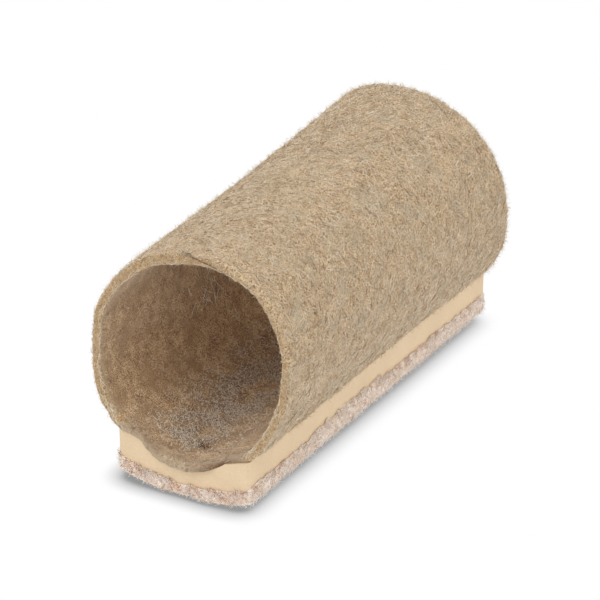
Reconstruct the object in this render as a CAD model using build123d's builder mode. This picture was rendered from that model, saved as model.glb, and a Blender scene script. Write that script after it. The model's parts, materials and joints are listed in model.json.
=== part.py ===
"""Wrap-around chair glide: a felt sleeve for a round chair tube, on a moulded saddle with a felt sole."""

import os
from math import atan2, cos, degrees, radians, sin, sqrt, tan

from build123d import *

# Driving dimensions in millimetres, angles in degrees.
# X runs across the tube, Y along it with the front at -Y, and Z up from the floor.
tube_diameter = 25.0  # round runner tube of the chair
felt_thickness = 1.1  # needle felt of the wrap
wrap_length = 58.35  # along the tube, where the wrap lies in the saddle
front_lean = 10.2  # the wrap's front edge leans back towards the top
back_lean = 4.8  # the wrap's back edge leans forward towards the top
seam_angle = 89.0  # middle of the wrap's lapped seam, round from +X
scarf_angle = 20.0  # stretch over which the wrap's two ends are skived
seam_opening = 0.4  # gap between the skived ends, measured round the wrap
pressed_felt = 0.3  # felt left between the tube and the saddle's shoulders

saddle_width = 18.5  # across the top of the sides
saddle_length = 57.7  # along the top of the sides
saddle_set_back = 0.65  # front face of the saddle behind the wrap's front edge
saddle_side_height = 3.85
shoulder_angle = 27.0  # from the bottom of the seat's trough up to each shoulder, round the tube's axis
saddle_floor = 2.3  # plastic under the middle of the tube
saddle_crown = 1.75  # how far the underside bows down between the sides
saddle_corner = 0.6  # radius of the upright corners
draft_angle = 1.5  # the block narrows downwards, to leave its mould

sole_thickness = 1.7  # under the middle of the saddle
sole_flat_width = 8.0  # flat strip that stands on the floor
sole_edge_rise = 1.05  # how far the underside lifts at its sides

# Heights, radii and lengths that follow from them
wrap_inner = tube_diameter / 2
wrap_outer = wrap_inner + felt_thickness
wrap_middle = (wrap_inner + wrap_outer) / 2
seat_height = sole_thickness + saddle_floor
axis_height = seat_height + wrap_outer
saddle_edge = sole_thickness + saddle_crown
saddle_top = saddle_edge + saddle_side_height
saddle_centre = saddle_set_back + (saddle_length - wrap_length) / 2
draft_inset = saddle_side_height * tan(radians(draft_angle))
sole_width = saddle_width - 2 * draft_inset
sole_length = saddle_length - 2 * draft_inset
crown_radius = ((sole_width / 2) ** 2 + saddle_crown**2) / (2 * saddle_crown)
crown_centre = sole_thickness + crown_radius


def on_wrap(radius, angle):
    """Point of the wrap's section at a radius and an angle round the tube's axis."""
    return (radius * cos(radians(angle)), axis_height + radius * sin(radians(angle)))


def mirrored(point):
    """The same point of a section on its left-hand side."""
    return (-point[0], point[1])


# The seat is a trough between two shoulders, which rise to the top of the saddle's sides.
shoulder = on_wrap(wrap_inner + pressed_felt, shoulder_angle - 90)
side_top = (saddle_width / 2, saddle_top)
seat_bottom = (0, seat_height)


def leaves_seat():
    """Point where the wrap's outer face lifts off the right-hand shoulder."""
    run, rise = side_top[0] - shoulder[0], side_top[1] - shoulder[1]
    across, down = shoulder[0], shoulder[1] - axis_height
    square, slope = run**2 + rise**2, run * across + rise * down
    share = (sqrt(slope**2 - square * (across**2 + down**2 - wrap_outer**2)) - slope) / square
    return (shoulder[0] + share * run, shoulder[1] + share * rise)


lift_off = leaves_seat()
lift_off_angle = degrees(atan2(lift_off[0], axis_height - lift_off[1]))


def scarf(shift):
    """Skived end of the wrap, from its inner to its outer face, moved back round the wrap by a length."""
    stations = (
        (wrap_inner, seam_angle - scarf_angle / 2),
        (wrap_middle, seam_angle),
        (wrap_outer, seam_angle + scarf_angle / 2),
    )
    return ThreePointArc(*(on_wrap(radius, angle - degrees(shift / radius)) for radius, angle in stations))


os.makedirs("parts", exist_ok=True)

# Felt wrap: one turn of felt, with the right-hand end lapped over the left-hand one on top
front_edge = Plane((0, -wrap_length / 2, seat_height), z_dir=(0, 1, -tan(radians(front_lean))))
back_edge = Plane((0, wrap_length / 2, seat_height), z_dir=(0, -1, -tan(radians(back_lean))))
with BuildPart() as felt_wrap:
    with BuildSketch(Plane.XZ):
        with BuildLine():
            CenterArc(
                (0, axis_height), wrap_inner, seam_angle - scarf_angle / 2, 360 - degrees(seam_opening / wrap_inner)
            )
            scarf(0)
            left_end = seam_angle + scarf_angle / 2
            CenterArc((0, axis_height), wrap_outer, left_end, 270 - lift_off_angle - left_end)
            Line(mirrored(lift_off), mirrored(shoulder))
            ThreePointArc(mirrored(shoulder), seat_bottom, shoulder)
            Line(shoulder, lift_off)
            right_end = left_end - degrees(seam_opening / wrap_outer)
            CenterArc((0, axis_height), wrap_outer, lift_off_angle - 90, right_end + 90 - lift_off_angle)
            scarf(seam_opening)
        make_face()
    extrude(amount=wrap_length, both=True)
    split(bisect_by=front_edge, keep=Keep.TOP)
    split(bisect_by=back_edge, keep=Keep.TOP)
felt_wrap.part.label = "felt_wrap"
export_step(felt_wrap.part, "parts/felt_wrap.step")

# Saddle: a drafted block, with a trough and shoulders for the wrap on top, and crowned below
with BuildPart() as saddle:
    with BuildSketch(Plane((0, saddle_centre, saddle_top), x_dir=(1, 0, 0), z_dir=(0, 0, -1))):
        RectangleRounded(saddle_width, saddle_length, saddle_corner)
    extrude(amount=saddle_top - sole_thickness, taper=draft_angle)
    with BuildSketch(Plane.XZ):
        with Locations((0, crown_centre)):
            Circle(crown_radius)
        with BuildLine():
            ThreePointArc(mirrored(shoulder), seat_bottom, shoulder)
            Polyline(shoulder, side_top, (side_top[0], axis_height), (-side_top[0], axis_height), mirrored(side_top))
            Line(mirrored(side_top), mirrored(shoulder))
        make_face(mode=Mode.SUBTRACT)
    extrude(amount=saddle_length, both=True, mode=Mode.INTERSECT)
saddle.part.label = "saddle"
export_step(saddle.part, "parts/saddle.step")

# Felt sole: a pad under the saddle's crown, flat where it stands and lifted at its sides
with BuildPart() as felt_sole:
    with BuildSketch(Plane((0, saddle_centre, 0))):
        RectangleRounded(sole_width, sole_length, saddle_corner)
    extrude(amount=saddle_edge)
    with BuildSketch(Plane.XZ):
        with BuildLine():
            left = (-sole_width / 2, sole_edge_rise)
            right = (sole_width / 2, sole_edge_rise)
            strip = Line((-sole_flat_width / 2, 0), (sole_flat_width / 2, 0))
            TangentArc(strip @ 1, right, tangent=strip % 1)
            TangentArc(strip @ 0, left, tangent=-(strip % 0))
            Line(right, (sole_width / 2, saddle_edge))
            ThreePointArc((sole_width / 2, saddle_edge), (0, sole_thickness), (-sole_width / 2, saddle_edge))
            Line((-sole_width / 2, saddle_edge), left)
        make_face()
    extrude(amount=saddle_length, both=True, mode=Mode.INTERSECT)
felt_sole.part.label = "felt_sole"
export_step(felt_sole.part, "parts/felt_sole.step")
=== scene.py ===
import json
from functools import partial

import bmesh
import bpy
import numpy as np
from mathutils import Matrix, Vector


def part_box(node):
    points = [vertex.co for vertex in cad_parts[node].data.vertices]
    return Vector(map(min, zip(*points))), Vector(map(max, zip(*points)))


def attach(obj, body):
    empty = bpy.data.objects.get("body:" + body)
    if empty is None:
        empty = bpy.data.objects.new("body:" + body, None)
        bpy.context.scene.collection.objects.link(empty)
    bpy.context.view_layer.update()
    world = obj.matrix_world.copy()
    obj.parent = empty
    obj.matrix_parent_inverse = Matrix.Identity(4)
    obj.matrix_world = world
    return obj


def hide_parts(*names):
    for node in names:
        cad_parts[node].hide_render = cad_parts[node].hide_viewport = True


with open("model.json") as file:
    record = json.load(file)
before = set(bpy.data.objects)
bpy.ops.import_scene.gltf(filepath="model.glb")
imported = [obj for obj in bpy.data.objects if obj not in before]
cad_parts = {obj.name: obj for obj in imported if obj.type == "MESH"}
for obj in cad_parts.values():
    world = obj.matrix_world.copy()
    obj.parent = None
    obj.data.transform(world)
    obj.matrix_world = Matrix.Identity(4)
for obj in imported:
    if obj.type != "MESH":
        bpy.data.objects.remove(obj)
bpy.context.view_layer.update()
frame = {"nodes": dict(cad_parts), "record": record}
mm = 0.001
glueGap = 0.02  # mm between glued faces, so that neither shows through the other
hardEdge = 55.0  # degrees, past which an edge is shaded hard

# Sizes that the frame gives, in millimetres
tubeSeat = next(m for m in frame["record"]["mounts"] if m["name"] == "tube_seat")
tubeRadius = tubeSeat["dims"]["r_mm"]
axisHeight = tubeSeat["pos_m"][2] / mm
wrapLow, wrapHigh = (np.array(corner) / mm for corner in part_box("felt_wrap"))
soleLow, soleHigh = (np.array(corner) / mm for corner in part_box("felt_sole"))
saddleHigh = [np.array(corner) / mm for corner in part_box("saddle")][1]
wrapLength = wrapHigh[1] - wrapLow[1]
outerRadius = (wrapHigh[0] - wrapLow[0]) / 2
feltThickness = outerRadius - tubeRadius


def linear(hexText):
    rgb = np.array([int(hexText[i:i + 2], 16) / 255 for i in (1, 3, 5)])
    rgb = np.where(rgb <= 0.04045, rgb / 12.92, ((rgb + 0.055) / 1.055) ** 2.4)
    return (*rgb, 1.0)


# Adds a node with its settings, inputs and links; a node given as an input is linked by its first output
def addNode(tree, kind, inputs=None, **settings):
    node = tree.nodes.new(kind)
    for name, value in settings.items():
        setattr(node, name, value)
    for name, value in (inputs or {}).items():
        if isinstance(value, bpy.types.Node):
            value = value.outputs[0]
        if isinstance(value, bpy.types.NodeSocket):
            tree.links.new(value, node.inputs[name])
        else:
            node.inputs[name].default_value = value
    return node


def newMaterial(name):
    material = bpy.data.materials.new(name)
    material.use_nodes = True
    material.node_tree.nodes.clear()
    return material, material.node_tree


def fillRamp(ramp, stops):
    elements = ramp.color_ramp.elements
    while len(elements) < len(stops):
        elements.new(0.5)
    for element, (place, hexText) in zip(elements, stops):
        element.position = place
        element.color = linear(hexText)


def newObject(name, data):
    made = bpy.data.objects.new(name, data)
    bpy.context.scene.collection.objects.link(made)
    return made


# 0 to 1 with a soft start and end
def eased(share):
    return share * share * (3 - 2 * share)


# 1 in the middle, fading to both sides
def bell(values, middle, halfWidth):
    return np.exp(-((values - middle) / halfWidth) ** 2)


# Soft random heights in 0 to 1, from a fixed lattice that repeats every 32 cells
def softNoise(points, cell, seed):
    cells = 32
    lattice = np.random.default_rng(seed).random((cells, cells, cells))
    scaled = points / cell
    base = np.floor(scaled).astype(int)
    share = eased(scaled - base)
    total = np.zeros(len(points))
    for corner in np.ndindex(2, 2, 2):
        weight = np.prod(np.where(corner, share, 1 - share), axis=1)
        x, y, z = ((base + corner) % cells).T
        total += weight * lattice[x, y, z]
    return total


# Unevenness about 0, from a few (size, height) layers of soft noise
def uneven(points, layers, seed):
    return sum(height * (softNoise(points, size, seed + n) - 0.5) for n, (size, height) in enumerate(layers))


# Smooth values round the sleeve, from a few (angle, value) stations
def roundSleeve(angles, stations):
    places, values = np.array(stations, float).T
    places = np.concatenate((places - 360, places, places + 360))
    values = np.tile(values, 3)
    angles = np.mod(angles, 360)
    right = np.searchsorted(places, angles, side="right")
    share = eased((angles - places[right - 1]) / (places[right] - places[right - 1]))
    return values[right - 1] * (1 - share) + values[right] * share


# How far a rounded corner falls away near an edge
def rolledOff(fromEdge, roll):
    reach = np.clip(1 - fromEdge / roll, 0, 1)
    return roll * (1 - np.sqrt(1 - reach ** 2))


# Surface of a box of cells: which lattice points lie on it, as shares of its three sides, and its quads
def boxShell(across, through, along):
    i, k, j = np.meshgrid(np.arange(across + 1), np.arange(through + 1), np.arange(along + 1), indexing="ij")
    outside = (i == 0) | (i == across) | (k == 0) | (k == through) | (j == 0) | (j == along)
    index = np.full(i.shape, -1)
    index[outside] = np.arange(outside.sum())
    quads = []
    for axis in range(3):
        for end in (0, -1):
            side = np.take(index, end, axis=axis)
            corners = (side[:-1, :-1], side[1:, :-1], side[1:, 1:], side[:-1, 1:])
            quads.append(np.stack(corners, -1).reshape(-1, 4))
    return i[outside] / across, k[outside] / through, j[outside] / along, np.concatenate(quads)


def shellMesh(name, points, quads):
    mesh = bpy.data.meshes.new(name)
    mesh.from_pydata((points * mm).tolist(), [], quads.tolist())
    shell = bmesh.new()
    shell.from_mesh(mesh)
    bmesh.ops.recalc_face_normals(shell, faces=shell.faces)
    shell.to_mesh(mesh)
    shell.free()
    mesh.shade_smooth()
    mesh.set_sharp_from_angle(angle=np.radians(hardEdge))
    return mesh


# Writes each mark as an attribute of the mesh's points, for the fibres and the materials
def setMarks(mesh, marks):
    for name, values in marks.items():
        layer = mesh.attributes.new(name, "FLOAT", "POINT")
        layer.data.foreach_set("value", np.asarray(values, np.float32))


# Felt wrap: one turn of needle felt, its two ends skived and lapped on top, seated in the saddle's trough.
# Angles are degrees round the tube from +X, and lengths are in millimetres.
feltWrap = {
    "cells": (190, 4, 96),  # round, through and along the felt
    "crowding": 0.9,  # how far the stations crowd towards the cut edges
    "lapAngle": 89.0,  # middle of the lap
    "lapStretch": 26.0,  # stretch over which each end is skived
    "slantReach": 45.0,  # from each end, where the skived slant has died out
    "lapGap": (0.06, 1.5, 1.1),  # between the skived ends: closed, added at the front, how far in
    "frontLean": 0.18,  # the front edge goes back by this much for each mm up
    "frontSkew": 0.046,  # and for each mm to the right
    "backLean": -0.084,
    "backSkew": -0.058,
    "backTrim": 0.17,  # the cut edge ends this far inside the box, where loose fibres start
    "shoulderAngle": 27.0,  # from the trough's bottom up to the saddle's shoulders
    "pressedFelt": 0.3,  # felt between the tube and the shoulders
    "looseFelt": 0.5,  # least thickness that shows at the shoulders
    "seatedAngle": 46.0,  # from the bottom up to where the felt leaves the seat
    # how far the ring stands off a true circle: (angle, mm)
    "outOfRound": [
        (0, -0.2), (20, 0), (48, 0.26), (75, 0.02), (100, -0.32), (125, 0.05), (150, 0.36), (160, 0.42),
        (183, -0.2), (210, 0.08), (232, 0), (290, 0), (306, 0.25), (340, -0.16),
    ],
    "waist": [(60, 0), (112, -0.5), (160, -0.5), (200, 0)],  # pinched in along the upper left
    "waistPlace": (0.56, 0.42),  # its middle and half width, as shares of the length
    "flare": [(0, 0), (290, 0), (316, 0.36), (338, 0.3)],  # the last third opens on the lower right
    "lapSwell": [(60, 0), (82, 0.05), (104, 0.36), (128, 0.3), (150, 0)],  # extra thickness at the lap
    # corner radii of the cut edge at the front: (angle, mm)
    "outerRoll": [
        (0, 0.25), (22, 0.8), (74, 0.75), (92, 0.15), (150, 0.2), (230, 0.1), (320, 0.15), (345, 0.2),
    ],
    "innerRoll": [(0, 0.1), (200, 0.1), (226, 0.9), (288, 0.9), (304, 0.1)],
    "backRolls": (0.3, 0.15),  # and at the back, outside and inside
    "rollRoom": 0.92,  # share of the thickness that the two corners may take
    # how far the front edge stands behind its plane: (angle, mm)
    "setBack": [
        (180, 0), (222, 0.1), (240, 0.5), (254, 0.1), (270, -0.1), (284, 0.1), (296, 0.35), (312, 0.1),
        (330, 0),
    ],
    "ragged": [(0, 0.2), (200, 0.25), (230, 0.5), (290, 0.5), (315, 0.25)],  # unevenness of the cut edges
    "raggedSizes": ((1.6, 1.0), (0.55, 0.6)),  # (size, share)
    "edgesApart": 40,  # places the two edges in different parts of the noise
    "lumps": ((2.4, 0.14), (0.9, 0.09)),  # (size, height) of the faces' unevenness
    "innerLumps": 0.8,  # share of it on the inside
}


# Distance from the tube's axis to the saddle's seat, by the angle from straight down
def seatRadius(fromBottom):
    shoulder = tubeRadius + feltWrap["pressedFelt"]
    turn = np.radians(feltWrap["shoulderAngle"])
    across, down = shoulder * np.sin(turn), shoulder * np.cos(turn)
    deeper = outerRadius - down
    troughRadius = (across ** 2 + deeper ** 2) / (2 * deeper)
    centreDown = outerRadius - troughRadius
    angle = np.abs(np.radians(fromBottom))
    aside = centreDown * np.sin(np.minimum(angle, 1))
    trough = centreDown * np.cos(angle) + np.sqrt(troughRadius ** 2 - aside ** 2)
    sideAcross, sideDown = saddleHigh[0], axisHeight - saddleHigh[2]
    normal = np.array([sideDown - down, across - sideAcross])
    land = (normal @ [across, down]) / (normal[0] * np.sin(angle) + normal[1] * np.cos(angle))
    return np.where(angle < turn, trough, land)


def degreesFromBottom(angle):
    return np.mod(angle - 90, 360) - 180


def makeFeltWrap():
    turnShare, depth, alongShare, quads = boxShell(*feltWrap["cells"])
    # stations crowd towards the cut edges, where the corners roll over
    crowded = alongShare - feltWrap["crowding"] * np.sin(2 * np.pi * alongShare) / (2 * np.pi)
    # round the strip: both ends are cut on the same slant, so the inner face runs ahead of the outer one
    closed, opened, reach = feltWrap["lapGap"]
    gap = np.degrees((closed + opened * np.exp(-crowded * wrapLength / reach)) / outerRadius)
    start = feltWrap["lapAngle"] + feltWrap["lapStretch"] / 2
    fromEnd = np.minimum(turnShare, 1 - turnShare) * 360
    slant = feltWrap["lapStretch"] * np.clip(1 - fromEnd / feltWrap["slantReach"], 0, 1) ** 2
    angle = start + turnShare * (360 - gap) - slant * (1 - depth)
    turn = np.radians(angle)
    # radii of the two faces, the outer one pressed into the seat
    inner = tubeRadius + roundSleeve(angle, feltWrap["outOfRound"])
    inner += roundSleeve(angle, feltWrap["waist"]) * bell(crowded, *feltWrap["waistPlace"])
    inner += roundSleeve(angle, feltWrap["flare"]) * np.clip(crowded * 3 - 2, 0, 1)
    outer = inner + feltThickness + roundSleeve(angle, feltWrap["lapSwell"])
    fromBottom = degreesFromBottom(angle)
    seated = np.abs(fromBottom) < feltWrap["seatedAngle"]
    seat = np.where(seated, seatRadius(np.where(seated, fromBottom, 0)), np.inf)
    outer = np.minimum(outer, seat - glueGap)
    inner = np.minimum(inner, outer - feltWrap["looseFelt"])
    # the two cut edges
    x = outer * np.cos(turn)
    z = outer * np.sin(turn)
    front = wrapLow[1] + feltWrap["frontLean"] * (z + outerRadius) + feltWrap["frontSkew"] * x
    front += roundSleeve(angle, feltWrap["setBack"])
    back = wrapHigh[1] - feltWrap["backTrim"] + feltWrap["backLean"] * (z + outerRadius)
    back += feltWrap["backSkew"] * x
    edgePoints = np.stack((x, feltWrap["edgesApart"] * (alongShare > 0.5), z), 1)
    ragged = roundSleeve(angle, feltWrap["ragged"]) * uneven(edgePoints, feltWrap["raggedSizes"], 3)
    front += ragged
    back += ragged
    y = front + crowded * (back - front)
    # their corners
    fromEdge = np.minimum(y - front, back - y)
    atFront = alongShare < 0.5
    outerRoll = np.where(atFront, roundSleeve(angle, feltWrap["outerRoll"]), feltWrap["backRolls"][0])
    innerRoll = np.where(atFront, roundSleeve(angle, feltWrap["innerRoll"]), feltWrap["backRolls"][1])
    shrink = np.minimum(1, feltWrap["rollRoom"] * (outer - inner) / (outerRoll + innerRoll))
    outer -= rolledOff(fromEdge, outerRoll * shrink)
    inner += rolledOff(fromEdge, innerRoll * shrink)
    radius = inner + depth * (outer - inner)
    points = np.stack((radius * np.cos(turn), y, axisHeight + radius * np.sin(turn)), 1)
    # unevenness of the two faces, but none where the felt is glued down
    swell = uneven(points, feltWrap["lumps"], 20) * np.where(depth > 0.5, ~seated, feltWrap["innerLumps"])
    points[:, 0] += swell * np.cos(turn)
    points[:, 2] += swell * np.sin(turn)
    mesh = shellMesh("feltWrap", points, quads)
    setMarks(mesh, wrapMarks(points, (turnShare, depth, alongShare), angle, front, back))
    print("felt wrap:", len(points), "points")
    return mesh


# Where the wrap is fuzzy, worn or stained, and where shade is painted on it: angles are degrees round the
# tube, and lengths are in millimetres
wrapWearAndShade = {
    "bare": (42.0, 6.0),  # no fuzz this near the bottom, and all of it this much further round
    "edgeShare": 0.02,  # share of the length that counts as the front edge
    "lipReach": 7.0,  # the lip on the saddle is scuffed this far in from the front
    "lipExtra": 3.0,  # more lining fibres there
    "lipShade": 1.3,  # painted shade, greying its edge, fades over this
    "lipStain": (292, 13),  # brown stretch of its edge, partly stain and partly painted shade where it lifts off the plastic: middle and half width
    "lipStainReach": 0.3,
    "lapStain": (0.6, 0.7),  # painted shade in the open lap: strength and reach from the front
    # specks of seed hull: (angle, y, strength)
    "burrs": [(271.4, -24.5, 1.0), (259.4, -21.2, 0.4), (262.3, -10.9, 0.8)],
    "burrSize": 0.37,
    "burrStretch": 0.8,  # less than 1 makes them longer round the tube
    "burrStain": 0.9,
    "glueLine": (44, 2.5),  # brown fibres where the felt leaves the saddle, from the bottom
    "lipFray": (300, 12),  # and on the lip's edge: middle and half width
    "lipFrayed": 3.0,
    "liningReach": 1.5,  # the rubbed inside starts over this length from the front
    "paleAngle": (-9, 20),  # pale fuzz at the bottom of the inside: middle and half width from the bottom
    "paleFront": (-27, 3),  # where along the tube it starts, and over what length
    "paleBack": (26, 26),  # where it ends, and over what length
    "paleClumps": (1.3, 0.15, 2.5, 1.2),  # clump size, then threshold, gain and limit of the noise
    "wispAngle": (198, 9),  # loose wisps on the left of the inside
    "wispPlace": (-3, 2.6),
    "lapBald": (0.7, 14),  # fewer rim fibres at the lap: share and half width
    "fringeReach": 1.2,  # loose fibres at the back edge
    "topFringe": (76, 14),  # and at the top of the front edge
}


def wrapMarks(points, shares, angle, front, back):
    turnShare, depth, alongShare = shares
    y = points[:, 1]
    fromFront = y - front
    fromBottom = degreesFromBottom(angle)
    onOuter = depth == 1
    onInner = depth == 0
    onRim = (alongShare == 0) | (alongShare == 1)
    onEnd = (turnShare == 0) | (turnShare == 1)
    nearFront = alongShare < wrapWearAndShade["edgeShare"]
    bareAngle, bareFade = wrapWearAndShade["bare"]
    clear = np.clip((np.abs(fromBottom) - bareAngle) / bareFade, 0, 1)
    inSeat = clear == 0
    lip = inSeat * np.clip(1 - fromFront / wrapWearAndShade["lipReach"], 0, 1)
    burr = np.zeros(len(points))
    for burrAngle, burrPlace, strength in wrapWearAndShade["burrs"]:
        aside = np.radians(angle - burrAngle) * tubeRadius * wrapWearAndShade["burrStretch"]
        burr = np.maximum(burr, strength * bell(np.hypot(aside, y - burrPlace), 0, wrapWearAndShade["burrSize"]))
    # brown edge of the lip: partly stain, partly painted shade under its lifted edge
    lipStain = inSeat * bell(angle, *wrapWearAndShade["lipStain"]) * np.exp(-fromFront / wrapWearAndShade["lipStainReach"])
    lapShade, lapReach = wrapWearAndShade["lapStain"]
    # painted shade on the lap's cut ends, darkest at the front
    lapStain = lapShade * onEnd * np.exp(-fromFront / lapReach)
    glue = onOuter * bell(np.abs(fromBottom), *wrapWearAndShade["glueLine"])
    lipFray = (alongShare == 0) * bell(angle, *wrapWearAndShade["lipFray"])
    paleStart, paleRise = wrapWearAndShade["paleFront"]
    paleEnd, paleFall = wrapWearAndShade["paleBack"]
    pale = np.clip((y - paleStart) / paleRise, 0, 1) * np.clip((paleEnd - y) / paleFall, 0, 1)
    clumpSize, threshold, gain, limit = wrapWearAndShade["paleClumps"]
    pale *= np.clip((softNoise(points, clumpSize, 55) - threshold) * gain, 0, limit)
    bald, baldWidth = wrapWearAndShade["lapBald"]
    backFringe = clear * ((alongShare == 1) + onOuter * np.exp(-(back - y) / wrapWearAndShade["fringeReach"]))
    topFringe = onInner * nearFront * bell(np.mod(angle, 360), *wrapWearAndShade["topFringe"])
    return {
        "outerFuzz": onOuter * clear,
        "innerFuzz": onInner * (1 + wrapWearAndShade["lipExtra"] * lip),
        "lipFuzz": (onInner | onRim) * lip,
        "burr": onInner * burr,
        # stains under the seed hulls and on the lip's edge, with painted shade in the open lap and under the
        # lifted lip
        "stain": np.maximum.reduce((lipStain, lapStain, wrapWearAndShade["burrStain"] * onInner * burr)),
        "lipShade": inSeat * np.exp(-fromFront / wrapWearAndShade["lipShade"]),
        "glueFuzz": glue + wrapWearAndShade["lipFrayed"] * lipFray,
        "lining": (onInner | inSeat) * np.clip(fromFront / wrapWearAndShade["liningReach"] + 1 - clear, 0, 1),
        "paleFuzz": onInner * bell(fromBottom, *wrapWearAndShade["paleAngle"]) * pale * (1 - burr),
        "wisps": onInner * bell(angle, *wrapWearAndShade["wispAngle"]) * bell(y, *wrapWearAndShade["wispPlace"]),
        "edgeFuzz": onInner & nearFront & (clear > 0),
        "rimFuzz": (onRim & (clear > 0)) * (1 - bald * bell(angle, feltWrap["lapAngle"], baldWidth)),
        "cutFace": onRim & (clear > 0),
        "fringe": backFringe + topFringe,
    }


# Felt sole: a pressed pad under the saddle's crown, whose sides bulge, wave and creep up over the plastic
feltSole = {
    "cells": (40, 7, 130),  # across, up and along the pad
    "crown": 1.75,  # how far its upper face bows down
    "thickness": 1.7,  # under the middle of the saddle
    "flatWidth": 4.0,  # strip that stands on the floor
    "edgeRise": 1.2,  # how far the underside lifts at its sides
    "sideLift": (0.3, 9.0),  # more rise along the sides, coming in over this length from the front
    "frontLift": (0.28, 2.5),  # and along the front edge, over this length
    "cornerRadius": 0.6,
    "standOff": (0.04, 0.03),  # the sides stand off the plastic by this much, and by no less than this
    "bulge": (0.0, 0.18, 0.05),  # and bulge: the left side, the right side and the ends
    "bulgeSpan": (0.02, 0.97),  # shares of the height that bound the bulge
    "wave": ((2.6, 0.12), (0.9, 0.08)),  # (size, height) of the sides' unevenness
    "waveFloor": -0.1,
    "creep": 0.28,  # upper edge climbs the plastic by up to this much, in patches
    "creepPatches": (2.2, 0.5, 0.05),  # gain, threshold and least share of the patches
    # and by this much more on the right side: (mm along, mm)
    "fray": [(-14, 0.1), (-10, 0.75), (-2, 1.0), (1, 0.95), (4, 0.25), (28, 0.25)],
    "underRoll": 0.12,  # lower edge rolls up by this much
    "brim": 0.8,  # share of the height where the loose upper edge starts
    "brimLeft": 0.4,  # fewer loose fibres on its left side
    "brownRight": 0.5,  # and fewer brown ones on its right side
    "brownFront": 0.4,  # brown fibres all over the front
    "hemTop": 0.5,  # hairs on the upper edge, against those on the lower one
    "underSides": (0.7, 5.0),  # more nap under the sides: from this share of the lift, and how much
}


def makeFeltSole():
    acrossCells, upCells, alongCells = feltSole["cells"]
    acrossShare, upShare, alongShare, quads = boxShell(acrossCells, upCells, alongCells)
    half = (soleHigh - soleLow) / 2
    middle = (soleHigh + soleLow) / 2
    # the outermost cells lie outside the plastic's footprint and make the bulge
    x = half[0] * np.clip((2 * acrossShare - 1) * acrossCells / (acrossCells - 2), -1, 1)
    y = half[1] * np.clip((2 * alongShare - 1) * alongCells / (alongCells - 2), -1, 1)
    outX = (acrossShare == 1) * 1.0 - (acrossShare == 0)
    outY = (alongShare == 1) * 1.0 - (alongShare == 0)
    onSide = (outX != 0) | (outY != 0)
    # round the upright corners by pulling in what lies outside them
    corner = feltSole["cornerRadius"]
    overX = np.maximum(np.abs(x) - half[0] + corner, 0)
    overY = np.maximum(np.abs(y) - half[1] + corner, 0)
    pull = np.maximum(overX, overY) / np.maximum(np.hypot(overX, overY), 1e-9)
    pull = np.where((overX > 0) & (overY > 0), pull, 1)
    x -= np.sign(x) * overX * (1 - pull)
    y -= np.sign(y) * overY * (1 - pull)
    # upper and lower faces
    crownRadius = (half[0] ** 2 + feltSole["crown"] ** 2) / (2 * feltSole["crown"])
    top = feltSole["thickness"] + crownRadius - np.sqrt(crownRadius ** 2 - x ** 2) - glueGap
    beyond = np.maximum(np.abs(x) - feltSole["flatWidth"] / 2, 0)
    run = half[0] - feltSole["flatWidth"] / 2
    liftRadius = (run ** 2 + feltSole["edgeRise"] ** 2) / (2 * feltSole["edgeRise"])
    bottom = liftRadius - np.sqrt(liftRadius ** 2 - beyond ** 2)
    fromFront = y + half[1]
    sideLift, sideReach = feltSole["sideLift"]
    bottom += sideLift * (beyond / run) ** 2 * np.clip(fromFront / sideReach, 0, 1)
    frontLift, frontReach = feltSole["frontLift"]
    bottom += frontLift * np.clip(1 - fromFront / frontReach, 0, 1) ** 2
    points = np.stack((x, middle[1] + y, bottom + upShare * (top - bottom)), 1)
    # sides: pushed out, creeping up and frayed
    waveSeed = 40
    wave = uneven(points, feltSole["wave"], waveSeed)
    fineWave = softNoise(points, feltSole["wave"][1][0], waveSeed + 1)
    bulge = np.choose(np.where(outX == 0, 2, outX > 0), feltSole["bulge"])
    bulge *= np.sqrt(np.sin(np.pi * np.clip(upShare, *feltSole["bulgeSpan"])))
    standOff, leastOff = feltSole["standOff"]
    push = np.maximum(standOff + bulge + np.maximum(wave, feltSole["waveFloor"]), leastOff)
    outLength = np.maximum(np.hypot(outX, outY), 1)
    points[:, 0] += push * outX / outLength
    points[:, 1] += push * outY / outLength
    gain, threshold, least = feltSole["creepPatches"]
    points[:, 2] += onSide * upShare ** 3 * feltSole["creep"] * np.clip(gain * fineWave - threshold, least, 1)
    frayed = np.interp(points[:, 1], *np.transpose(feltSole["fray"])) * (0.5 + fineWave)
    points[:, 2] += (outX > 0) * upShare ** 2 * frayed
    points[:, 2] += onSide * (1 - upShare) ** 2 * feltSole["underRoll"]
    mesh = shellMesh("feltSole", points, quads)
    brim = (upShare > feltSole["brim"]) * np.where(outX < 0, feltSole["brimLeft"], 1)
    brown = brim * np.where(outX > 0, feltSole["brownRight"], 1) + feltSole["brownFront"] * (outY < 0)
    liftStart, underExtra = feltSole["underSides"]
    lifted = np.clip((beyond / run - liftStart) / (1 - liftStart), 0, 1)
    setMarks(mesh, {
        "sideFuzz": onSide,
        "brimFuzz": onSide * brim,
        "brownFuzz": onSide * brown,
        "hemFuzz": onSide * ((upShare == 0) + feltSole["hemTop"] * (upShare == 1)),
        "underFuzz": ((upShare == 0) & ~onSide) * (1 + underExtra * lifted),
    })
    print("felt sole:", len(points), "points")
    return mesh


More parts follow.
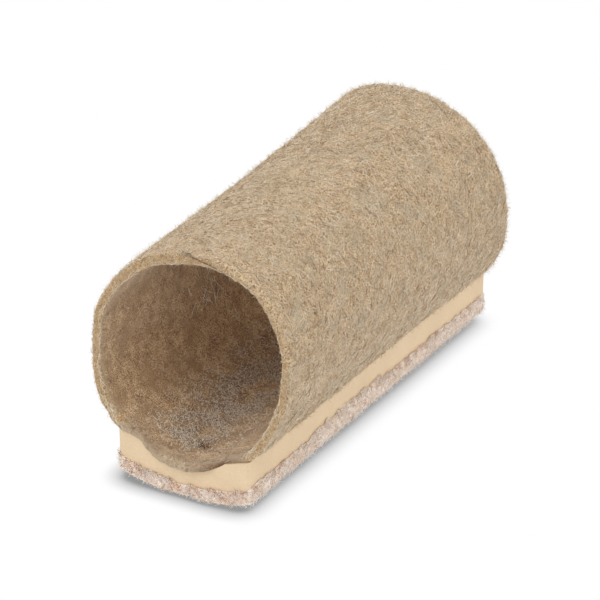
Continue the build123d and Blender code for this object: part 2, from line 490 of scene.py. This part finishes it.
# Fibres: a tree that scatters short curved hairs over a felt and lays them on it
fibreInputs = {
    "Weight": "",  # mark of the felt that says where the hairs grow
    "Density": 4.0,  # hairs on each square millimetre
    "Shortest": 0.8,  # lengths and sizes in millimetres
    "Longest": 1.8,
    "Thickness": 0.1,
    "Curl": 0.4,
    "Curl size": 0.9,
    "Height": 0.06,  # hairs lie in layers up to this high
    "Tilt": 0.15,  # and their ends stand off by up to this much
    "Hold": 1.0,  # 1 lies on the felt all along, less lets the ends run on past its edge
    "Grain": 0.0,  # degrees from the way round the tube
    "Spread": 50.0,  # degrees that a hair turns from it by its own chance
    "Swirl": 60.0,  # and in slow swirls
    "Swirl size": 5.0,
    "Points": 4,
    "Seed": 1,
    "Material": None,
}
socketKinds = {str: "NodeSocketString", float: "NodeSocketFloat", int: "NodeSocketInt"}
hairShape = {
    "swirlGain": 3.0,  # brings soft noise, which seldom nears 0 or 1, up to the full swirl
    "ownCurl": 2.5 * mm,  # hairs of different tone read the curl noise up to this far apart
    "taper": (3.0, 0.55),  # how late the ends thin, and by how much
    "floorGap": 0.05 * mm,  # no hair goes below this
}


def fibreTree():
    math = "ShaderNodeMath"
    vectorMath = "ShaderNodeVectorMath"
    tree = bpy.data.node_groups.new("layFibres", "GeometryNodeTree")
    add = partial(addNode, tree)
    tree.interface.new_socket("Felt", in_out="INPUT", socket_type="NodeSocketGeometry")
    for name, value in fibreInputs.items():
        kind = socketKinds.get(type(value), "NodeSocketMaterial")
        socket = tree.interface.new_socket(name, in_out="INPUT", socket_type=kind)
        if value is not None:
            socket.default_value = value
    tree.interface.new_socket("Fibres", in_out="OUTPUT", socket_type="NodeSocketGeometry")
    given = add("NodeGroupInput").outputs
    # what each hair draws by chance
    ranges = {
        "tone": (0.0, 1.0),
        "lean": (-1.0, 1.0),
        "layer": (0.0, 1.0),
        "turn": (-1.0, 1.0),
        "length": (given["Shortest"], given["Longest"]),
    }
    drawn = {}
    for step, (name, (low, high)) in enumerate(ranges.items(), 1):
        seed = add(math, {0: given["Seed"], 1: step}, operation="ADD")
        draw = add("FunctionNodeRandomValue", {2: low, 3: high, 8: seed}, data_type="FLOAT")
        drawn[name] = draw.outputs[1]
    # scatter, keeping what the hair needs later
    position = add("GeometryNodeInputPosition")
    weight = add("GeometryNodeInputNamedAttribute", {"Name": given["Weight"]}, data_type="FLOAT")
    perSquareMetre = add(math, {0: given["Density"], 1: 1e6}, operation="MULTIPLY")
    density = add(math, {0: perSquareMetre, 1: weight}, operation="MULTIPLY")
    scatter = add("GeometryNodeDistributePointsOnFaces", {
        "Mesh": given["Felt"], "Density": density, "Seed": given["Seed"],
    }, distribute_method="RANDOM")
    points = scatter
    for name in ("tone", "lean", "layer"):
        points = add("GeometryNodeStoreNamedAttribute", {
            "Geometry": points, "Name": name, "Value": drawn[name],
        }, data_type="FLOAT", domain="POINT")
    # direction of each hair: the felt's grain, a slow swirl and its own chance
    swirlScale = add(math, {0: 1 / mm, 1: given["Swirl size"]}, operation="DIVIDE")
    swirl = add("ShaderNodeTexNoise", {"Vector": position, "Scale": swirlScale, "Detail": 1.0})
    swirl = add(math, {0: swirl, 1: 0.5}, operation="SUBTRACT")
    swirlReach = add(math, {0: given["Swirl"], 1: hairShape["swirlGain"]}, operation="MULTIPLY")
    swirlTurn = add(math, {0: swirl, 1: swirlReach}, operation="MULTIPLY")
    ownTurn = add(math, {0: drawn["turn"], 1: given["Spread"]}, operation="MULTIPLY")
    turn = add(math, {0: swirlTurn, 1: ownTurn}, operation="ADD")
    turn = add(math, {0: given["Grain"], 1: turn}, operation="ADD")
    turn = add(math, {0: turn}, operation="RADIANS")
    fromAxis = add(vectorMath, {0: position, 1: (0, 0, axisHeight * mm)}, operation="SUBTRACT")
    roundTube = add(vectorMath, {0: (0, 1, 0), 1: fromAxis}, operation="CROSS_PRODUCT")
    along = add("FunctionNodeAxesToRotation", {
        "Primary Axis": scatter.outputs["Normal"], "Secondary Axis": roundTube,
    }, primary_axis="Z", secondary_axis="X")
    spin = add("FunctionNodeAxisAngleToRotation", {"Axis": (0.0, 0.0, 1.0), "Angle": turn})
    facing = add("FunctionNodeRotateRotation", {
        "Rotation": along, "Rotate By": spin,
    }, rotation_space="LOCAL")
    # straight hairs, one millimetre long before each is scaled to its own length
    hair = add("GeometryNodeCurvePrimitiveLine", {"Start": (-0.5 * mm, 0, 0), "End": (0.5 * mm, 0, 0)})
    hair = add("GeometryNodeResampleCurve", {"Curve": hair, "Count": given["Points"]})
    stretch = add("ShaderNodeCombineXYZ", {0: drawn["length"], 1: 1.0, 2: 1.0})
    laid = add("GeometryNodeInstanceOnPoints", {
        "Points": points, "Instance": hair, "Rotation": facing, "Scale": stretch,
    })
    loose = add("GeometryNodeRealizeInstances", {0: laid})
    # curl each hair, then lay it back on the felt at its own height and lean
    tone, lean, layer = (
        add("GeometryNodeInputNamedAttribute", {"Name": name}, data_type="FLOAT")
        for name in ("tone", "lean", "layer")
    )
    ownShift = add(math, {0: tone, 1: hairShape["ownCurl"]}, operation="MULTIPLY")
    ownShift = add("ShaderNodeCombineXYZ", {2: ownShift})
    ownPlace = add(vectorMath, {0: position, 1: ownShift}, operation="ADD")
    curlScale = add(math, {0: 1 / mm, 1: given["Curl size"]}, operation="DIVIDE")
    curl = add("ShaderNodeTexNoise", {"Vector": ownPlace, "Scale": curlScale, "Detail": 0.0})
    curl = add(vectorMath, {0: curl.outputs[1], 1: (0.5, 0.5, 0.5)}, operation="SUBTRACT")
    curlReach = add(math, {0: given["Curl"], 1: 2 * mm}, operation="MULTIPLY")
    curl = add(vectorMath, {0: curl, "Scale": curlReach}, operation="SCALE")
    curled = add(vectorMath, {0: position, 1: curl}, operation="ADD")
    nearest = add("GeometryNodeProximity", {
        0: given["Felt"], "Sample Position": curled,
    }, target_element="FACES")
    feltNormal = add("GeometryNodeInputNormal")
    normal = add("GeometryNodeSampleNearestSurface", {
        "Mesh": given["Felt"], "Value": feltNormal, "Sample Position": curled,
    }, data_type="FLOAT_VECTOR")
    place = add("GeometryNodeSplineParameter").outputs["Factor"]
    fromMiddle = add(math, {0: place, 1: 0.5}, operation="SUBTRACT")
    rise = add(math, {0: lean, 1: fromMiddle}, operation="MULTIPLY")
    tilt = add(math, {0: given["Tilt"], 1: 2.0}, operation="MULTIPLY")
    rise = add(math, {0: rise, 1: tilt}, operation="MULTIPLY")
    height = add(math, {0: layer, 1: given["Height"]}, operation="MULTIPLY")
    height = add(math, {0: rise, 1: height}, operation="ADD")
    height = add(math, {0: height, 1: mm}, operation="MULTIPLY")
    lift = add(vectorMath, {0: normal, "Scale": height}, operation="SCALE")
    held = add("ShaderNodeMix", {
        0: given["Hold"], 4: curled, 5: nearest.outputs["Position"],
    }, data_type="VECTOR").outputs[1]
    settled = add(vectorMath, {0: held, 1: lift}, operation="ADD")
    settled = add(vectorMath, {0: settled, 1: (-1, -1, hairShape["floorGap"])}, operation="MAXIMUM")
    curves = add("GeometryNodeSetPosition", {"Geometry": loose, "Position": settled})
    # taper and skin
    sharpness, thinning = hairShape["taper"]
    ends = add(math, {0: fromMiddle, 1: 2.0}, operation="MULTIPLY")
    for operation, value in (("ABSOLUTE", 0.0), ("POWER", sharpness), ("MULTIPLY", thinning)):
        ends = add(math, {0: ends, 1: value}, operation=operation)
    taper = add(math, {0: 1.0, 1: ends}, operation="SUBTRACT")
    radius = add(math, {0: given["Thickness"], 1: 0.5 * mm}, operation="MULTIPLY")
    radius = add(math, {0: radius, 1: taper}, operation="MULTIPLY")
    ring = add("GeometryNodeCurvePrimitiveCircle", {"Resolution": 3, "Radius": 1.0})
    skin = add("GeometryNodeCurveToMesh", {
        "Curve": curves, "Profile Curve": ring, "Scale": radius, "Fill Caps": True,
    })
    smooth = add("GeometryNodeSetShadeSmooth", {0: skin, "Shade Smooth": True})
    whole = add("GeometryNodeRealizeInstances", {0: smooth})
    painted = add("GeometryNodeSetMaterial", {"Geometry": whole, "Material": given["Material"]})
    add("NodeGroupOutput", {0: painted})
    return tree


def growFibres(name, felt, tree, values):
    carrier = newObject(name + "Carrier", felt)
    modifier = carrier.modifiers.new("fibres", "NODES")
    modifier.node_group = tree
    for item in tree.interface.items_tree:
        if item.in_out == "INPUT" and item.name in values:
            modifier[item.identifier] = values[item.name]
    depsgraph = bpy.context.evaluated_depsgraph_get()
    mesh = bpy.data.meshes.new_from_object(carrier.evaluated_get(depsgraph))
    mesh.name = name
    bpy.data.objects.remove(carrier)
    print(name + ":", sum(len(p.vertices) - 2 for p in mesh.polygons), "triangles")
    return newObject(name, mesh)


# Colour pulled towards a tone in patches, between two levels of a noise whose size is in millimetres
def patched(tree, colour, tone, size, share, detail=3.0, start=0.48, full=0.68):
    place = addNode(tree, "ShaderNodeTexCoord").outputs["Object"]
    noise = addNode(tree, "ShaderNodeTexNoise", {"Vector": place, "Scale": 1 / (size * mm), "Detail": detail})
    amount = addNode(tree, "ShaderNodeMapRange", {0: noise, 1: start, 2: full, 3: 0.0, 4: share})
    mixed = addNode(tree, "ShaderNodeMix", {0: amount, 6: colour, 7: linear(tone)}, data_type="RGBA")
    return mixed.outputs[2]


# Colour from a few tones, picked by a value, with patches of another one
def mottled(tree, value, stops, patchTone, patchSize, patchShare):
    ramp = addNode(tree, "ShaderNodeValToRGB", {0: value})
    fillRamp(ramp, stops)
    return patched(tree, ramp, patchTone, patchSize, patchShare)


# Colour pulled towards a tone where a mark of the felt is high
def toned(tree, colour, mark, tone, share):
    amount = addNode(tree, "ShaderNodeAttribute", attribute_name=mark).outputs["Fac"]
    amount = addNode(tree, "ShaderNodeMath", {0: amount, 1: share}, operation="MULTIPLY")
    mixed = addNode(tree, "ShaderNodeMix", {0: amount, 6: colour, 7: linear(tone)}, data_type="RGBA")
    return mixed.outputs[2]


# Wool is matt, with a pale sheen where its loose ends catch the light
def finishWool(tree, colour, look, grain=None):
    inputs = {"Base Color": colour, "Roughness": look["roughness"], "Specular IOR Level": 0.15}
    inputs |= {"Sheen Weight": look["sheen"], "Sheen Roughness": 0.6, "Sheen Tint": linear("#FFF3E2")}
    if grain:
        strength, depth = look["bump"]
        inputs["Normal"] = addNode(tree, "ShaderNodeBump", {
            "Height": grain, "Strength": strength, "Distance": depth * mm,
        })
    shader = addNode(tree, "ShaderNodeBsdfPrincipled", inputs)
    addNode(tree, "ShaderNodeOutputMaterial", {0: shader})


# Needle felt: carded wool needled into a mat, so it is matt and mottled; the dark pits between its fibres are
# painted shade;
# the inside is rubbed like suede and browner. Sizes are in millimetres.
needleFeltLook = {
    "grainSize": 0.22,  # tangle of fibres, drawn coarser than real wool so that it shows
    "bump": (0.5, 0.08),  # strength and depth
    "outside": ((0.34, "#73553A"), (0.45, "#AC8E68"), (0.56, "#CBB28F"), (0.7, "#DCC8A9")),
    "outsidePatches": ("#AAA089", 3.4, 0.45),  # tone, size and share of other wool
    "rubbedSize": 1.6,
    "napSize": 0.15,  # short nap of the inside, drawn as coarse as it needs to show
    "napShare": 0.7,
    "inside": ((0.38, "#55371B"), (0.45, "#A57F54"), (0.53, "#C7A377"), (0.62, "#EAD2AE")),
    "insidePatches": ("#98744A", 3.6, 0.75),
    "flecks": ("#684524", 0.6, 0.6, 2.0, 0.6, 0.72),  # dark: tone, size, share, detail, levels
    "worn": ("#543C27", 0.35),  # painted shade in the pits under the pale fuzz
    "dull": ("#A99B86", 0.7),  # painted shade, grey, at the edge of the lip
    "cut": ("#AF8C5C", 0.5),  # cut edges
    # dark brown of real stains under the seed hulls and on the lip's edge, and of painted shade in the open
    # lap
    "stain": ("#5E3A16", 1.0),
    "roughness": 0.95,
    "sheen": 0.6,
}


def needleFelt():
    look = needleFeltLook
    material, tree = newMaterial("needleFelt")
    place = addNode(tree, "ShaderNodeTexCoord").outputs["Object"]
    grain = addNode(tree, "ShaderNodeTexNoise", {
        "Vector": place, "Scale": 1 / (look["grainSize"] * mm), "Detail": 3.0,
    })
    outside = mottled(tree, grain, look["outside"], *look["outsidePatches"])
    outside = toned(tree, outside, "cutFace", *look["cut"])
    rubbed = addNode(tree, "ShaderNodeTexNoise", {
        "Vector": place, "Scale": 1 / (look["rubbedSize"] * mm), "Detail": 3.0, "Roughness": 0.6,
    })
    nap = addNode(tree, "ShaderNodeTexNoise", {
        "Vector": place, "Scale": 1 / (look["napSize"] * mm), "Detail": 2.0,
    })
    rubbed = addNode(tree, "ShaderNodeMix", {0: look["napShare"], 2: rubbed, 3: nap}, data_type="FLOAT")
    inside = mottled(tree, rubbed, look["inside"], *look["insidePatches"])
    # painted shade under the pale fuzz
    inside = toned(tree, inside, "paleFuzz", *look["worn"])
    # painted shade greys the lip's edge
    inside = toned(tree, inside, "lipShade", *look["dull"])
    inside = patched(tree, inside, *look["flecks"])
    lining = addNode(tree, "ShaderNodeAttribute", attribute_name="lining").outputs["Fac"]
    colour = addNode(tree, "ShaderNodeMix", {0: lining, 6: outside, 7: inside}, data_type="RGBA").outputs[2]
    # real stains and painted shade, in one dark brown
    colour = toned(tree, colour, "stain", *look["stain"])
    finishWool(tree, colour, look, grain)
    return material


# Moulded polypropylene: smooth and matt, with a faint cloud and grain from the mould. Sizes are in mm.
plasticLook = {
    "cloudSize": 4.0,
    "grainSize": 0.25,  # spark-eroded mould, drawn as coarse as it needs to show
    "tones": ("#C9B08C", "#F4D9B5"),
    "roughness": (0.5, 0.65),
    "bump": (0.25, 0.01),  # strength and depth
    "specular": 0.3,
}


def mouldedPlastic():
    look = plasticLook
    material, tree = newMaterial("mouldedPolypropylene")
    place = addNode(tree, "ShaderNodeTexCoord").outputs["Object"]
    cloud, grain = (
        addNode(tree, "ShaderNodeTexNoise", {"Vector": place, "Scale": 1 / (size * mm), "Detail": detail})
        for size, detail in ((look["cloudSize"], 4.0), (look["grainSize"], 2.0))
    )
    speckle = addNode(tree, "ShaderNodeMix", {0: 0.5, 2: cloud, 3: grain}, data_type="FLOAT")
    dark, light = (linear(tone) for tone in look["tones"])
    tint = addNode(tree, "ShaderNodeMix", {0: speckle, 6: dark, 7: light}, data_type="RGBA").outputs[2]
    rough = addNode(tree, "ShaderNodeMapRange", {0: grain, 3: look["roughness"][0], 4: look["roughness"][1]})
    strength, depth = look["bump"]
    bump = addNode(tree, "ShaderNodeBump", {"Height": grain, "Strength": strength, "Distance": depth * mm})
    shader = addNode(tree, "ShaderNodeBsdfPrincipled", {
        "Base Color": tint, "Roughness": rough, "Specular IOR Level": look["specular"], "Normal": bump,
    })
    addNode(tree, "ShaderNodeOutputMaterial", {0: shader})
    return material


# Pressed wool felt of the sole: pinkish white and soft, with brown wool mixed in. Sizes are in millimetres.
soleFeltLook = {
    "grainSize": 0.3,
    "bump": (0.3, 0.1),  # strength and depth
    "tones": ((0.3, "#E4CBB9"), (0.5, "#F4E4D9"), (0.68, "#FFF8F2")),
    "patches": ("#CE9868", 1.0, 0.65),  # tone, size and share of brown wool
    "roughness": 0.95,
    "sheen": 0.6,
}


def soleFelt():
    look = soleFeltLook
    material, tree = newMaterial("pressedWoolFelt")
    place = addNode(tree, "ShaderNodeTexCoord").outputs["Object"]
    grain = addNode(tree, "ShaderNodeTexNoise", {
        "Vector": place, "Scale": 1 / (look["grainSize"] * mm), "Detail": 3.0,
    })
    colour = mottled(tree, grain, look["tones"], *look["patches"])
    finishWool(tree, colour, look, grain)
    return material


# Loose wool fibres: each has its own tone, with other wool mixed in by patches. Sizes are in millimetres.
everyWool = {"patchSize": 2.6, "roughness": 0.8, "sheen": 0.6}  # where a wool says nothing else
wools = {
    "needleFeltFibre": {  # outside of the wrap
        "stops": (
            (0.0, "#634525"), (0.08, "#9D7A4F"), (0.17, "#C5A57C"), (0.38, "#DFC8A5"), (0.7, "#ECD8B9"),
            (1.0, "#FCF2E1"),
        ),
        "patches": ("#CFC4AA", 0.5),  # tone and share
    },
    "cutFeltFibre": {  # cut edges
        "stops": ((0.0, "#5E3F1D"), (0.14, "#9F7845"), (0.4, "#D0B07F"), (0.75, "#E6D0A8"), (1.0, "#F8ECD4")),
        "patches": ("#C6A97C", 0.4),
    },
    "greyFeltFibre": {  # lip
        "stops": ((0.0, "#5F472F"), (0.3, "#927A5D"), (0.65, "#B7A388"), (1.0, "#DDD0BC")),
        "patches": ("#A08A6C", 0.5),
    },
    "brightFeltFibre": {  # painted highlight: the lit line along the inside of the front edge, and the lit loose fibres of the fringe
        "stops": ((0.0, "#D9C4A0"), (0.5, "#EBDCC0"), (1.0, "#FBF3E3")),
        "patches": ("#D9C9AC", 0.3),
    },
    "rubbedFeltFibre": {  # inside of the wrap
        "stops": ((0.0, "#7E5E40"), (0.15, "#AC8D6E"), (0.5, "#C6AB8E"), (0.85, "#DAC8B2"), (1.0, "#E8DED2")),
        "patches": ("#A2866A", 0.5),
    },
    "paleFeltFibre": {  # fuzz that wear has raised inside; its near white is partly a painted highlight where the light grazes it
        "stops": ((0.0, "#6E5033"), (0.18, "#B39675"), (0.36, "#F8EEDF"), (1.0, "#FFFDF8")),
        "patches": ("#EADBC4", 0.3),
        "sheen": 1.0,
    },
    "seedHull": {  # specks of plant that carding left in the wool
        "stops": ((0.0, "#402812"), (0.5, "#66441F"), (1.0, "#8E6838")),
        "patches": ("#6E4A25", 0.4),
        "sheen": 0.1,
    },
    "pressedWoolFibre": {  # sole
        "stops": ((0.0, "#C0834F"), (0.08, "#DDB697"), (0.18, "#F3E3D6"), (0.6, "#FBF4EC"), (1.0, "#FFFEFA")),
        "patches": ("#EFD5BE", 0.5),
        "sheen": 1.0,
    },
    "brownWoolFibre": {  # brown wool at the glued edges
        "stops": ((0.0, "#7E5230"), (0.4, "#B38153"), (0.7, "#CFA580"), (1.0, "#E6CDB7")),
        "patches": ("#BB8F68", 0.4),
    },
}


def woolFibre(name):
    look = everyWool | wools[name]
    material, tree = newMaterial(name)
    tone = addNode(tree, "ShaderNodeAttribute", attribute_name="tone").outputs["Fac"]
    patchTone, patchShare = look["patches"]
    colour = mottled(tree, tone, look["stops"], patchTone, look["patchSize"], patchShare)
    finishWool(tree, colour, look)
    return material


# Hairs of each felt: name, wool and what differs from fibreInputs.
# They are drawn two or three times as thick as real wool, so that they show.
short = {"Points": 3, "Shortest": 0.4, "Longest": 1.0, "Spread": 180.0}
wrapFibres = {
    "wrapFibresA": ("needleFeltFibre", short | {
        "Weight": "outerFuzz", "Density": 1.2, "Seed": 1, "Thickness": 0.075, "Height": 0.06,
    }),
    "wrapFibresB": ("needleFeltFibre", {
        "Weight": "outerFuzz", "Density": 2.5, "Seed": 31, "Thickness": 0.075, "Height": 0.14,
        "Spread": 180.0, "Shortest": 0.6, "Longest": 1.5, "Curl": 0.5, "Curl size": 0.7,
    }),
    "wrapFibresC": ("needleFeltFibre", {
        "Weight": "outerFuzz", "Density": 1.7, "Seed": 251, "Thickness": 0.06, "Height": 0.2,
        "Spread": 180.0, "Shortest": 1.0, "Longest": 2.2, "Curl": 0.6, "Curl size": 0.7, "Points": 5,
    }),
    "wrapHairs": ("needleFeltFibre", short | {
        "Weight": "outerFuzz", "Density": 3.3, "Seed": 61, "Thickness": 0.045, "Tilt": 0.7, "Longest": 1.4,
    }),
    # loose fibres lit pale, a painted highlight
    "wrapFringe": ("brightFeltFibre", short | {
        "Weight": "fringe", "Density": 18.0, "Seed": 311, "Thickness": 0.035, "Tilt": 0.6, "Longest": 1.2,
        "Curl": 0.5, "Hold": 0.5,
    }),
    "wrapLining": ("rubbedFeltFibre", short | {
        "Weight": "innerFuzz", "Density": 0.4, "Seed": 91, "Thickness": 0.055, "Height": 0.05,
    }),
    "wrapPaleFuzz": ("paleFeltFibre", short | {
        "Weight": "paleFuzz", "Density": 30.0, "Seed": 211, "Thickness": 0.13, "Height": 0.4, "Points": 2,
        "Shortest": 0.1, "Longest": 0.36, "Curl": 0.3, "Curl size": 0.4,
    }),
    "wrapWisps": ("paleFeltFibre", {
        "Weight": "wisps", "Density": 1.8, "Seed": 351, "Thickness": 0.085, "Height": 0.5, "Spread": 60.0,
        "Shortest": 1.0, "Longest": 2.4, "Tilt": 0.3,
    }),
    "wrapBurrs": ("seedHull", short | {
        "Weight": "burr", "Density": 60.0, "Seed": 291, "Thickness": 0.13, "Height": 0.3, "Shortest": 0.1,
        "Longest": 0.3,
    }),
    "wrapRims": ("cutFeltFibre", short | {
        "Weight": "rimFuzz", "Density": 17.0, "Seed": 121, "Thickness": 0.06, "Tilt": 0.4, "Shortest": 0.3,
        "Longest": 0.9, "Curl size": 0.5,
    }),
    # painted highlight along the inside of the front edge
    "wrapEdge": ("brightFeltFibre", {
        "Weight": "edgeFuzz", "Density": 13.0, "Seed": 141, "Thickness": 0.07, "Height": 0.05,
        "Spread": 25.0, "Swirl": 20.0, "Curl": 0.25, "Tilt": 0.1, "Hold": 0.7,
    }),
    "wrapGlue": ("brownWoolFibre", short | {
        "Weight": "glueFuzz", "Density": 4.0, "Seed": 191, "Thickness": 0.06, "Height": 0.03, "Tilt": 0.05,
    }),
    "wrapLip": ("greyFeltFibre", short | {
        "Weight": "lipFuzz", "Density": 4.0, "Seed": 171, "Thickness": 0.06, "Height": 0.04, "Tilt": 0.1,
    }),
}
soleFibres = {
    "soleFibres": ("pressedWoolFibre", {
        "Weight": "sideFuzz", "Density": 10.0, "Seed": 151, "Thickness": 0.055, "Height": 0.2,
        "Spread": 180.0, "Shortest": 0.4, "Longest": 1.2, "Curl": 0.7, "Curl size": 0.6, "Tilt": 0.35,
    }),
    "soleFluff": ("pressedWoolFibre", short | {
        "Weight": "sideFuzz", "Density": 7.0, "Seed": 271, "Thickness": 0.05, "Tilt": 0.55, "Longest": 1.0,
        "Curl": 0.6, "Hold": 0.5,
    }),
    "soleTufts": ("pressedWoolFibre", short | {
        "Weight": "brimFuzz", "Density": 12.0, "Seed": 331, "Thickness": 0.055, "Height": 0.25, "Tilt": 0.4,
        "Curl": 0.6, "Hold": 0.25,
    }),
    "soleBrim": ("brownWoolFibre", short | {
        "Weight": "brownFuzz", "Density": 9.0, "Seed": 231, "Thickness": 0.075, "Height": 0.2, "Tilt": 0.3,
        "Hold": 0.4,
    }),
    "soleHem": ("pressedWoolFibre", short | {
        "Weight": "hemFuzz", "Density": 26.0, "Seed": 371, "Thickness": 0.1, "Points": 2, "Longest": 1.0,
        "Tilt": 0.4, "Spread": 70.0, "Hold": 0.1,
    }),
    "soleNap": ("pressedWoolFibre", short | {
        "Weight": "underFuzz", "Density": 0.6, "Seed": 181, "Thickness": 0.1, "Height": 0.02, "Tilt": 0.02,
    }),
}

wrapMesh = makeFeltWrap()
soleMesh = makeFeltSole()
layFibres = fibreTree()
woolMaterials = {name: woolFibre(name) for name in wools}
fibres = []
for felt, hairs in ((wrapMesh, wrapFibres), (soleMesh, soleFibres)):
    for name, (wool, values) in hairs.items():
        fibres.append(growFibres(name, felt, layFibres, values | {"Material": woolMaterials[wool]}))

wrap = newObject("feltWrapBody", wrapMesh)
wrapMesh.materials.append(needleFelt())
sole = newObject("feltSoleBody", soleMesh)
soleMesh.materials.append(soleFelt())
saddle = frame["nodes"]["saddle"]
saddle.data.materials.clear()
saddle.data.materials.append(mouldedPlastic())
print("materials:", len(woolMaterials), "wools, two felts and the plastic")

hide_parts("felt_wrap")
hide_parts("felt_sole")
for piece in (wrap, sole, *fibres):
    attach(piece, "root")

# Stage: a white floor that keeps the shadow, and soft light from all round. Lengths are in metres.
stage = {
    "floorHalf": 3.0,
    "shadowReach": 3.4 * mm,
    "shadowOpen": (0.36, 0.95),  # share of the sky seen in the darkest shadow and past its end
    "shadowTone": 0.3,
    "shadowCurve": 0.7,
    "shadowLean": (0.3, 0.3, 1.0),  # more light from the back right, so the shadow leans forward
    "shadowSamples": 16,
    "worldLight": 0.86,
    "lampAim": (0, 0, 0.015),
    "lamps": {  # name: (place, size, power)
        "key": ((-0.3, -0.5, 0.75), 0.6, 2.35),
        "fill": ((0.68, -0.5, 0.14), 0.6, 0.75),
        "rim": ((0.55, 0.6, 0.3), 0.6, 0.8),
    },
}


# A one-sided sheet that draws its own shadow and lets the light through to the underside
def makeFloor():
    half = stage["floorHalf"]
    mesh = bpy.data.meshes.new("floor")
    corners = [(-half, -half, 0), (half, -half, 0), (half, half, 0), (-half, half, 0)]
    mesh.from_pydata(corners, [], [(0, 1, 2, 3)])
    floor = newObject("floor", mesh)
    floor.visible_diffuse = False
    floor.visible_shadow = False
    material, tree = newMaterial("paperFloor")
    lean = addNode(tree, "ShaderNodeCombineXYZ", dict(enumerate(Vector(stage["shadowLean"]).normalized())))
    openSky = addNode(tree, "ShaderNodeAmbientOcclusion", {
        "Distance": stage["shadowReach"], "Normal": lean,
    }, samples=stage["shadowSamples"]).outputs["AO"]
    darkest, clearest = stage["shadowOpen"]
    fade = addNode(tree, "ShaderNodeMapRange", {0: openSky, 1: darkest, 2: clearest})
    curve = addNode(tree, "ShaderNodeMath", {0: fade, 1: stage["shadowCurve"]}, operation="POWER")
    shade = addNode(tree, "ShaderNodeMapRange", {0: curve, 3: stage["shadowTone"], 4: 1.0})
    paper = addNode(tree, "ShaderNodeEmission", {"Strength": shade})
    clear = addNode(tree, "ShaderNodeBsdfTransparent")
    under = addNode(tree, "ShaderNodeNewGeometry").outputs["Backfacing"]
    oneSided = addNode(tree, "ShaderNodeMixShader", {0: under, 1: paper, 2: clear})
    addNode(tree, "ShaderNodeOutputMaterial", {0: oneSided})
    mesh.materials.append(material)


def makeLight():
    world = bpy.data.worlds.new("tent")
    bpy.context.scene.world = world
    world.use_nodes = True
    tree = world.node_tree
    tree.nodes.clear()
    # pure white behind the object, seen straight, mirrored or through glass, and softer as a light
    ray = addNode(tree, "ShaderNodeLightPath").outputs
    seen = ray["Is Camera Ray"]
    for kind in ("Is Glossy Ray", "Is Transmission Ray"):
        seen = addNode(tree, "ShaderNodeMath", {0: seen, 1: ray[kind]}, operation="MAXIMUM")
    level = addNode(tree, "ShaderNodeMapRange", {0: seen, 3: stage["worldLight"], 4: 1.0})
    sky = addNode(tree, "ShaderNodeBackground", {"Color": (1, 1, 1, 1), "Strength": level})
    addNode(tree, "ShaderNodeOutputWorld", {0: sky})
    for name, (place, size, power) in stage["lamps"].items():
        light = bpy.data.lights.new(name, "AREA")
        light.energy = power
        light.size = size
        lamp = newObject(name, light)
        lamp.location = place
        lamp.rotation_mode = "QUATERNION"
        lamp.rotation_quaternion = (Vector(stage["lampAim"]) - lamp.location).to_track_quat("-Z", "Y")
    print("stage: floor, tent and", len(stage["lamps"]), "lamps")


# Camera: a long lens from the front right, fitted to the photograph's edges. Lengths are in millimetres.
view = {
    "azimuth": 30.554,
    "elevation": 28.603,
    "distance": 1161.5,
    "target": (-0.455, 0.057, 13.62),
    "lens": 568.6,
    "sensor": 36,
}


def makeCamera():
    azimuth, elevation = np.radians(view["azimuth"]), np.radians(view["elevation"])
    level = np.cos(elevation)
    back = Vector((np.sin(azimuth) * level, -np.cos(azimuth) * level, np.sin(elevation)))
    camera = bpy.data.cameras.new("camera")
    camera.lens = view["lens"]
    camera.sensor_width = view["sensor"]
    holder = newObject("camera", camera)
    holder.location = Vector(view["target"]) * mm + back * view["distance"] * mm
    holder.rotation_mode = "QUATERNION"
    holder.rotation_quaternion = (-back).to_track_quat("-Z", "Y")
    bpy.context.scene.camera = holder
    print("camera:", view["azimuth"], "degrees round and", view["elevation"], "up")


makeFloor()
makeLight()
makeCamera()
bpy.context.scene.view_settings.view_transform = "Standard"
